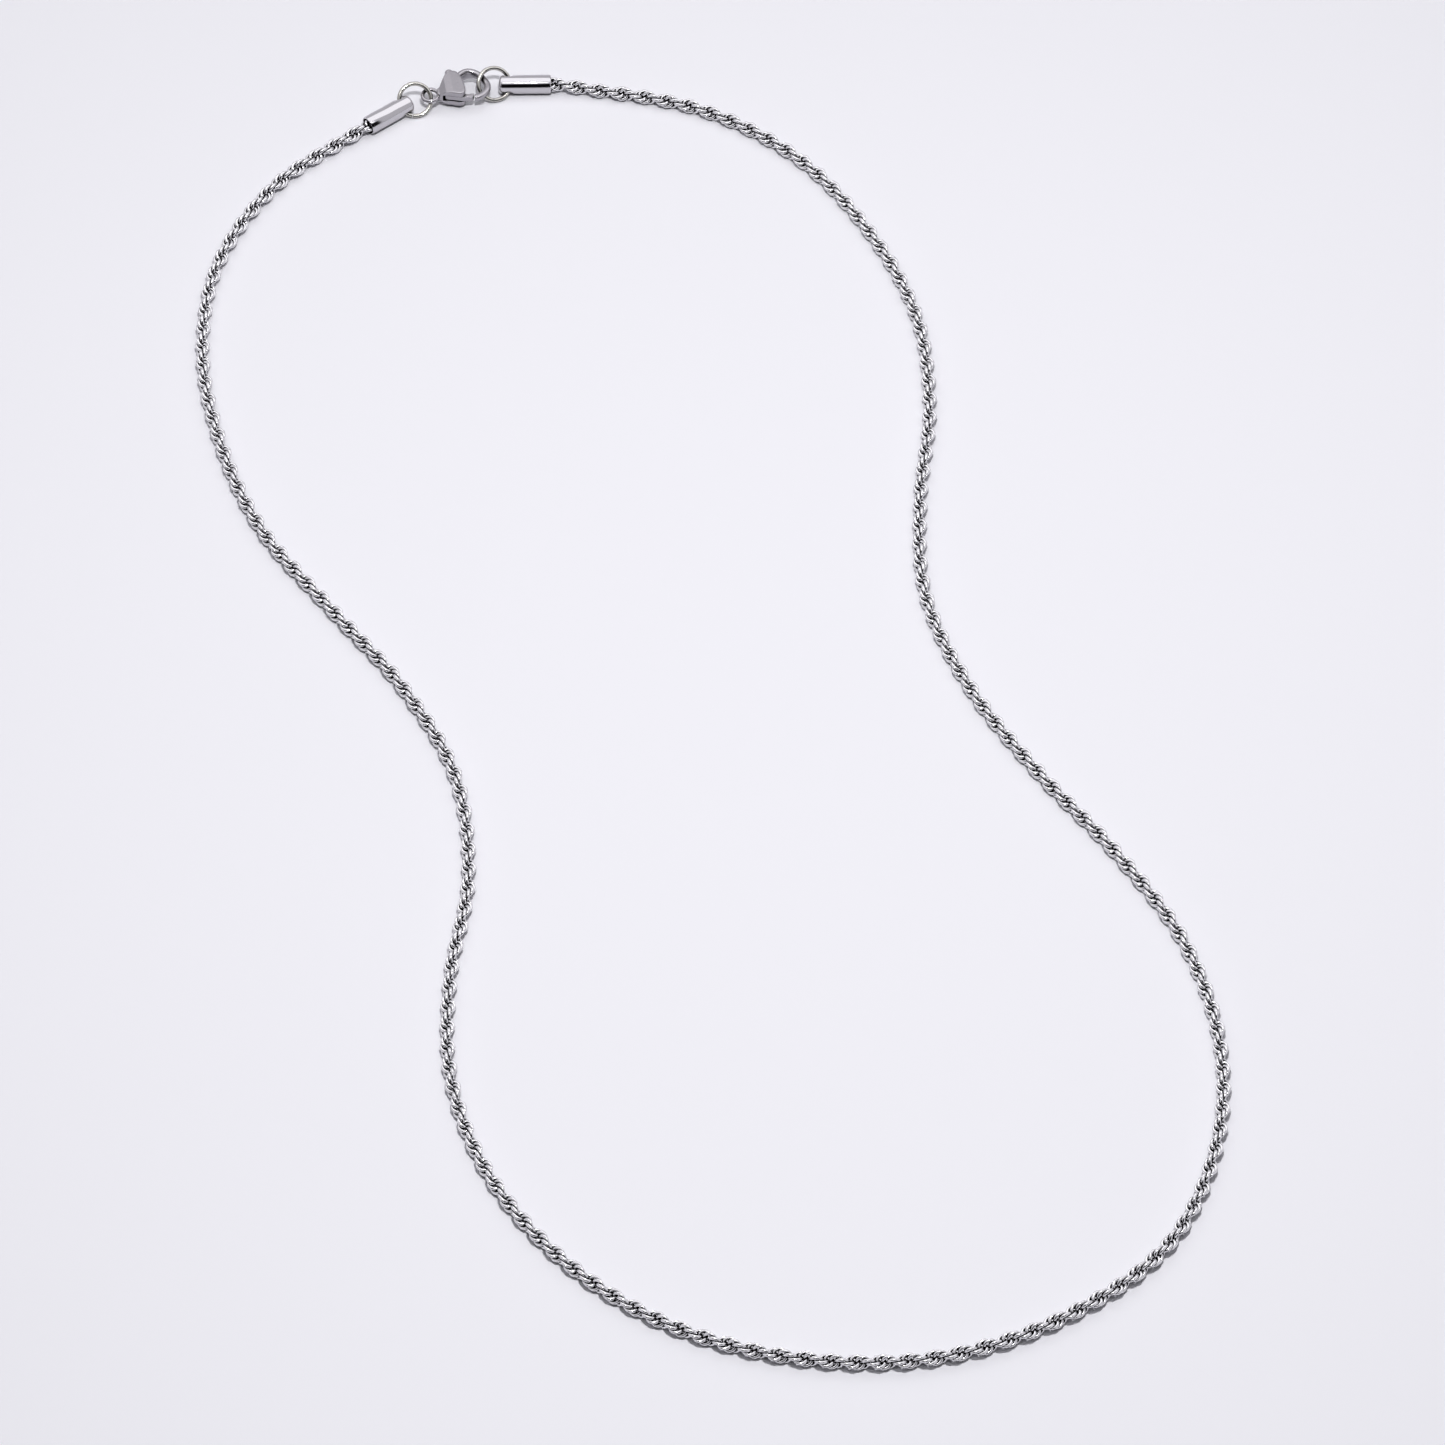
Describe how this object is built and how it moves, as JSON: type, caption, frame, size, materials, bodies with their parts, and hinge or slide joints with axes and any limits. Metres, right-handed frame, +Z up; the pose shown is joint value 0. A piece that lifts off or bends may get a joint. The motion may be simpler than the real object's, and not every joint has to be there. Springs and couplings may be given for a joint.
{
  "type": "chain necklace",
  "caption": "Rope chain necklace laid in an open waisted loop, closed by a sprung lobster clasp, round jump rings and plain tube end caps.",
  "frame": {"origin": "middle of the bounding box, on the table the necklace lies on", "axes": "+Z up from the table, +Y along the length of the laid loop towards the clasp, +X across it"},
  "size_m": [0.1333, 0.2145, 0.0034],
  "materials": {
    "chain_steel": "polished stainless steel wire",
    "cap_steel": "polished stainless steel tube",
    "ring_steel": "polished stainless steel wire",
    "clasp_steel": "tumbled satin stainless steel casting",
    "spring_steel": "bare spring steel"
  },
  "bodies": {
    "clasp": {"clasp_body": "clasp_steel", "clasp_rivet": "chain_steel", "clasp_spring": "ring_steel"},
    "clasp_lever": {"clasp_lever": "clasp_steel"},
    "left_end": {"left_end_cap": "cap_steel", "chain_run_01": "chain_steel"},
    "left_ring": {"left_jump_ring": "ring_steel"},
    "run_02": {"chain_run_02": "chain_steel"},
    "run_03": {"chain_run_03": "chain_steel"},
    "run_04": {"chain_run_04": "chain_steel"},
    "run_05": {"chain_run_05": "chain_steel"},
    "run_06": {"chain_run_06": "chain_steel"},
    "run_07": {"chain_run_07": "chain_steel"},
    "run_08": {"chain_run_08": "chain_steel"},
    "run_09": {"chain_run_09": "chain_steel"},
    "run_10": {"chain_run_10": "chain_steel"},
    "run_11": {"chain_run_11": "chain_steel"},
    "run_12": {"chain_run_12": "chain_steel"},
    "run_13": {"chain_run_13": "chain_steel"},
    "run_14": {"chain_run_14": "chain_steel"},
    "run_15": {"chain_run_15": "chain_steel"},
    "run_16": {"chain_run_16": "chain_steel"},
    "run_17": {"chain_run_17": "chain_steel"},
    "run_18": {"chain_run_18": "chain_steel"},
    "run_19": {"chain_run_19": "chain_steel"},
    "run_20": {"chain_run_20": "chain_steel"},
    "run_21": {"chain_run_21": "chain_steel"},
    "run_22": {"chain_run_22": "chain_steel"},
    "run_23": {"chain_run_23": "chain_steel"},
    "run_24": {"chain_run_24": "chain_steel"},
    "run_25": {"chain_run_25": "chain_steel"},
    "run_26": {"chain_run_26": "chain_steel"},
    "run_27": {"chain_run_27": "chain_steel"},
    "run_28": {"chain_run_28": "chain_steel"},
    "run_29": {"chain_run_29": "chain_steel"},
    "run_30": {"chain_run_30": "chain_steel"},
    "run_31": {"chain_run_31": "chain_steel"},
    "run_32": {"chain_run_32": "chain_steel"},
    "run_33": {"chain_run_33": "chain_steel"},
    "run_34": {"chain_run_34": "chain_steel"},
    "run_35": {"chain_run_35": "chain_steel"},
    "run_36": {"chain_run_36": "chain_steel"},
    "run_37": {"chain_run_37": "chain_steel"},
    "run_38": {"chain_run_38": "chain_steel"},
    "run_39": {"chain_run_39": "chain_steel"},
    "run_40": {"chain_run_40": "chain_steel"},
    "run_41": {"chain_run_41": "chain_steel"},
    "run_42": {"chain_run_42": "chain_steel"},
    "right_end": {"right_end_cap": "cap_steel", "chain_run_43": "chain_steel"},
    "right_ring": {"right_jump_ring": "ring_steel"}
  },
  "joints": [
    {"name": "clasp_lever_pivot", "type": "hinge", "parent": "clasp", "child": "clasp_lever", "pos_m": [-0.03331, 0.10332, 0.00185], "axis": [0, 0, 1], "range_deg": [0, 25], "stiffness_Nm_per_rad": 0.0002, "springref_deg": -11.46, "deforming": ["clasp_spring"]},
    {"name": "clasp_eye", "type": "hinge", "parent": "clasp", "child": "left_end", "pos_m": [-0.0362, 0.10245, 0.00185], "axis": [0, 0, 1], "range_deg": [-12, 12]},
    {"name": "link_01", "type": "hinge", "parent": "left_end", "child": "run_02", "pos_m": [-0.05091, 0.0924, 0.001], "axis": [0, 0, 1], "range_deg": [-12, 12]},
    {"name": "link_02", "type": "hinge", "parent": "run_02", "child": "run_03", "pos_m": [-0.06261, 0.07646, 0.001], "axis": [0, 0, 1], "range_deg": [-12, 12]},
    {"name": "link_03", "type": "hinge", "parent": "run_03", "child": "run_04", "pos_m": [-0.06538, 0.06479, 0.001], "axis": [0, 0, 1], "range_deg": [-12, 12]},
    {"name": "link_04", "type": "hinge", "parent": "run_04", "child": "run_05", "pos_m": [-0.06519, 0.05286, 0.001], "axis": [0, 0, 1], "range_deg": [-12, 12]},
    {"name": "link_05", "type": "hinge", "parent": "run_05", "child": "run_06", "pos_m": [-0.06268, 0.04112, 0.001], "axis": [0, 0, 1], "range_deg": [-12, 12]},
    {"name": "link_06", "type": "hinge", "parent": "run_06", "child": "run_07", "pos_m": [-0.0569, 0.02625, 0.001], "axis": [0, 0, 1], "range_deg": [-12, 12]},
    {"name": "link_07", "type": "hinge", "parent": "run_07", "child": "run_08", "pos_m": [-0.05021, 0.01629, 0.001], "axis": [0, 0, 1], "range_deg": [-12, 12]},
    {"name": "link_08", "type": "hinge", "parent": "run_08", "child": "run_09", "pos_m": [-0.04177, 0.00514, 0.001], "axis": [0, 0, 1], "range_deg": [-12, 12]},
    {"name": "link_09", "type": "hinge", "parent": "run_09", "child": "run_10", "pos_m": [-0.03521, -0.00491, 0.001], "axis": [0, 0, 1], "range_deg": [-12, 12]},
    {"name": "link_10", "type": "hinge", "parent": "run_10", "child": "run_11", "pos_m": [-0.0304, -0.01586, 0.001], "axis": [0, 0, 1], "range_deg": [-12, 12]},
    {"name": "link_11", "type": "hinge", "parent": "run_11", "child": "run_12", "pos_m": [-0.0286, -0.02773, 0.001], "axis": [0, 0, 1], "range_deg": [-12, 12]},
    {"name": "link_12", "type": "hinge", "parent": "run_12", "child": "run_13", "pos_m": [-0.02986, -0.0426, 0.001], "axis": [0, 0, 1], "range_deg": [-12, 12]},
    {"name": "link_13", "type": "hinge", "parent": "run_13", "child": "run_14", "pos_m": [-0.03071, -0.05457, 0.001], "axis": [0, 0, 1], "range_deg": [-12, 12]},
    {"name": "link_14", "type": "hinge", "parent": "run_14", "child": "run_15", "pos_m": [-0.03009, -0.06352, 0.001], "axis": [0, 0, 1], "range_deg": [-12, 12]},
    {"name": "link_15", "type": "hinge", "parent": "run_15", "child": "run_16", "pos_m": [-0.02666, -0.07502, 0.001], "axis": [0, 0, 1], "range_deg": [-12, 12]},
    {"name": "link_16", "type": "hinge", "parent": "run_16", "child": "run_17", "pos_m": [-0.02299, -0.08209, 0.001], "axis": [0, 0, 1], "range_deg": [-12, 12]},
    {"name": "link_17", "type": "hinge", "parent": "run_17", "child": "run_18", "pos_m": [-0.01553, -0.09149, 0.001], "axis": [0, 0, 1], "range_deg": [-12, 12]},
    {"name": "link_18", "type": "hinge", "parent": "run_18", "child": "run_19", "pos_m": [-0.00787, -0.09785, 0.001], "axis": [0, 0, 1], "range_deg": [-12, 12]},
    {"name": "link_19", "type": "hinge", "parent": "run_19", "child": "run_20", "pos_m": [0.00284, -0.10327, 0.001], "axis": [0, 0, 1], "range_deg": [-12, 12]},
    {"name": "link_20", "type": "hinge", "parent": "run_20", "child": "run_21", "pos_m": [0.01, -0.10526, 0.001], "axis": [0, 0, 1], "range_deg": [-12, 12]},
    {"name": "link_21", "type": "hinge", "parent": "run_21", "child": "run_22", "pos_m": [0.0295, -0.1057, 0.001], "axis": [0, 0, 1], "range_deg": [-12, 12]},
    {"name": "link_22", "type": "hinge", "parent": "run_22", "child": "run_23", "pos_m": [0.04069, -0.10205, 0.001], "axis": [0, 0, 1], "range_deg": [-12, 12]},
    {"name": "link_23", "type": "hinge", "parent": "run_23", "child": "run_24", "pos_m": [0.05541, -0.092, 0.001], "axis": [0, 0, 1], "range_deg": [-12, 12]},
    {"name": "link_24", "type": "hinge", "parent": "run_24", "child": "run_25", "pos_m": [0.06268, -0.08005, 0.001], "axis": [0, 0, 1], "range_deg": [-12, 12]},
    {"name": "link_25", "type": "hinge", "parent": "run_25", "child": "run_26", "pos_m": [0.06546, -0.06837, 0.001], "axis": [0, 0, 1], "range_deg": [-12, 12]},
    {"name": "link_26", "type": "hinge", "parent": "run_26", "child": "run_27", "pos_m": [0.06548, -0.0578, 0.001], "axis": [0, 0, 1], "range_deg": [-12, 12]},
    {"name": "link_27", "type": "hinge", "parent": "run_27", "child": "run_28", "pos_m": [0.06297, -0.04606, 0.001], "axis": [0, 0, 1], "range_deg": [-12, 12]},
    {"name": "link_28", "type": "hinge", "parent": "run_28", "child": "run_29", "pos_m": [0.05798, -0.03505, 0.001], "axis": [0, 0, 1], "range_deg": [-12, 12]},
    {"name": "link_29", "type": "hinge", "parent": "run_29", "child": "run_30", "pos_m": [0.05143, -0.025, 0.001], "axis": [0, 0, 1], "range_deg": [-12, 12]},
    {"name": "link_30", "type": "hinge", "parent": "run_30", "child": "run_31", "pos_m": [0.0461, -0.01797, 0.001], "axis": [0, 0, 1], "range_deg": [-12, 12]},
    {"name": "link_31", "type": "hinge", "parent": "run_31", "child": "run_32", "pos_m": [0.03941, -0.00801, 0.001], "axis": [0, 0, 1], "range_deg": [-12, 12]},
    {"name": "link_32", "type": "hinge", "parent": "run_32", "child": "run_33", "pos_m": [0.03113, 0.00995, 0.001], "axis": [0, 0, 1], "range_deg": [-12, 12]},
    {"name": "link_33", "type": "hinge", "parent": "run_33", "child": "run_34", "pos_m": [0.02933, 0.02181, 0.001], "axis": [0, 0, 1], "range_deg": [-12, 12]},
    {"name": "link_34", "type": "hinge", "parent": "run_34", "child": "run_35", "pos_m": [0.03013, 0.0373, 0.001], "axis": [0, 0, 1], "range_deg": [-12, 12]},
    {"name": "link_35", "type": "hinge", "parent": "run_35", "child": "run_36", "pos_m": [0.03098, 0.04927, 0.001], "axis": [0, 0, 1], "range_deg": [-12, 12]},
    {"name": "link_36", "type": "hinge", "parent": "run_36", "child": "run_37", "pos_m": [0.03013, 0.05987, 0.001], "axis": [0, 0, 1], "range_deg": [-12, 12]},
    {"name": "link_37", "type": "hinge", "parent": "run_37", "child": "run_38", "pos_m": [0.0267, 0.07136, 0.001], "axis": [0, 0, 1], "range_deg": [-12, 12]},
    {"name": "link_38", "type": "hinge", "parent": "run_38", "child": "run_39", "pos_m": [0.02071, 0.08282, 0.001], "axis": [0, 0, 1], "range_deg": [-12, 12]},
    {"name": "link_39", "type": "hinge", "parent": "run_39", "child": "run_40", "pos_m": [0.01325, 0.09222, 0.001], "axis": [0, 0, 1], "range_deg": [-12, 12]},
    {"name": "link_40", "type": "hinge", "parent": "run_40", "child": "run_41", "pos_m": [0.00811, 0.09641, 0.001], "axis": [0, 0, 1], "range_deg": [-12, 12]},
    {"name": "link_41", "type": "hinge", "parent": "run_41", "child": "run_42", "pos_m": [-0.0026, 0.10183, 0.001], "axis": [0, 0, 1], "range_deg": [-12, 12]},
    {"name": "link_42", "type": "hinge", "parent": "run_42", "child": "right_end", "pos_m": [-0.01015, 0.10359, 0.001], "axis": [0, 0, 1], "range_deg": [-12, 12]},
    {"name": "left_ring_turn", "type": "hinge", "parent": "left_end", "child": "left_ring", "pos_m": [-0.03829, 0.10176, 0.00171], "axis": [0.1555, -0.6237, 0.766], "continuous": true},
    {"name": "right_ring_turn", "type": "hinge", "parent": "right_end", "child": "right_ring", "pos_m": [-0.02756, 0.1047, 0.00171], "axis": [0.2408, -0.596, 0.766], "continuous": true}
  ],
  "couplings": [
    {"joint": "link_01", "follows": "clasp_eye", "ratio": -1},
    {"joint": "link_03", "follows": "link_02", "ratio": -1},
    {"joint": "link_05", "follows": "link_04", "ratio": -1},
    {"joint": "link_07", "follows": "link_06", "ratio": -1},
    {"joint": "link_09", "follows": "link_08", "ratio": -1},
    {"joint": "link_11", "follows": "link_10", "ratio": -1},
    {"joint": "link_13", "follows": "link_12", "ratio": -1},
    {"joint": "link_15", "follows": "link_14", "ratio": -1},
    {"joint": "link_17", "follows": "link_16", "ratio": -1},
    {"joint": "link_19", "follows": "link_18", "ratio": -1},
    {"joint": "link_21", "follows": "link_20", "ratio": -1},
    {"joint": "link_22", "follows": "clasp_eye", "ratio": 1},
    {"joint": "link_23", "follows": "clasp_eye", "ratio": -1},
    {"joint": "link_24", "follows": "link_02", "ratio": 1},
    {"joint": "link_25", "follows": "link_02", "ratio": -1},
    {"joint": "link_26", "follows": "link_04", "ratio": 1},
    {"joint": "link_27", "follows": "link_04", "ratio": -1},
    {"joint": "link_28", "follows": "link_08", "ratio": 1},
    {"joint": "link_29", "follows": "link_08", "ratio": -1},
    {"joint": "link_30", "follows": "link_06", "ratio": 1},
    {"joint": "link_31", "follows": "link_06", "ratio": -1},
    {"joint": "link_32", "follows": "link_10", "ratio": 1},
    {"joint": "link_33", "follows": "link_10", "ratio": -1},
    {"joint": "link_34", "follows": "link_12", "ratio": 1},
    {"joint": "link_35", "follows": "link_12", "ratio": -1},
    {"joint": "link_36", "follows": "link_14", "ratio": 1},
    {"joint": "link_37", "follows": "link_14", "ratio": -1},
    {"joint": "link_38", "follows": "link_16", "ratio": 1},
    {"joint": "link_39", "follows": "link_16", "ratio": -1},
    {"joint": "link_40", "follows": "link_18", "ratio": 1},
    {"joint": "link_41", "follows": "link_18", "ratio": -1},
    {"joint": "link_42", "follows": "link_20", "ratio": 1}
  ]
}
